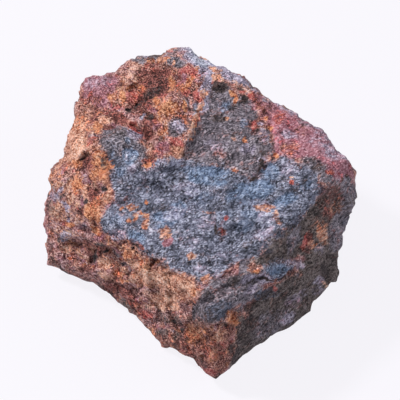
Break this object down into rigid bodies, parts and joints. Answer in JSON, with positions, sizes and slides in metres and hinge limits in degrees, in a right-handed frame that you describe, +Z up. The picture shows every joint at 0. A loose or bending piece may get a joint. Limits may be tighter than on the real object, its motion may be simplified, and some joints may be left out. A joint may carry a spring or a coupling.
{
  "type": "copper ore lump",
  "caption": "Rough broken lump of copper ore with a sloping tarnished top, rusty crumbly sides, ledges and hollows, lying on a flat base.",
  "frame": {"origin": "middle of the lump's box in X and Y, on the ground plane that it rests on", "axes": "+Z up, -Y towards the side that shows the sloping top and the two front walls, +X to that side's right"},
  "size_m": [0.1002, 0.1012, 0.0595],
  "materials": {
    "ore": "rough broken ore: blue-grey tarnish, rust brown, orange and dull red, with no gloss"
  },
  "bodies": {
    "root": {"copper_ore": "ore"}
  },
  "joints": []
}
